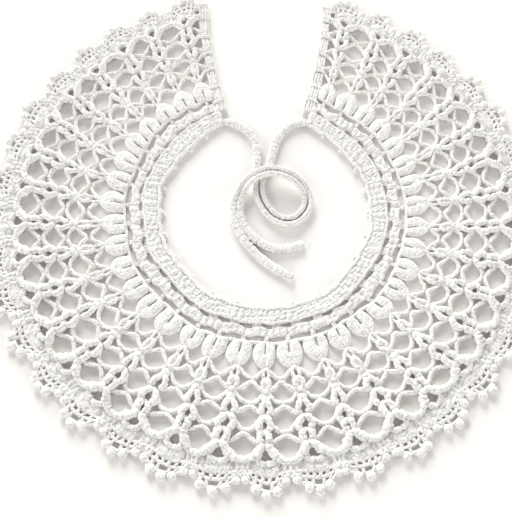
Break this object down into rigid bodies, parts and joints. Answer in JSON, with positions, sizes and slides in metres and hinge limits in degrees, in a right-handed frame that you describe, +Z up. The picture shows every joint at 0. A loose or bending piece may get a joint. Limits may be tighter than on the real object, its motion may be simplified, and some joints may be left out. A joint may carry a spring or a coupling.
{
  "type": "crocheted lace collar",
  "caption": "Crocheted lace collar laid flat in an open ring, with a leaf row, a net yoke, a scalloped picot edge and tie cords.",
  "frame": {"origin": "centre of the lace's bounding box, on the surface that the collar lies on", "axes": "+Z up out of the lace, -Y towards the front of the collar, +Y towards the back opening, X across the neck"},
  "size_m": [0.34, 0.3306, 0.0083],
  "materials": {
    "lace_cotton": "off-white mercerised crochet cotton, matt with a faint sheen",
    "cord_cotton": "off-white crocheted cotton cord, matt"
  },
  "bodies": {
    "root": {"neckband": "lace_cotton", "beading_row": "lace_cotton", "leaf_ring": "lace_cotton", "net_yoke": "lace_cotton", "scallop_edging": "lace_cotton", "end_edging_left": "lace_cotton", "end_edging_right": "lace_cotton", "tie_left": "cord_cotton", "tie_right": "cord_cotton"}
  },
  "joints": []
}
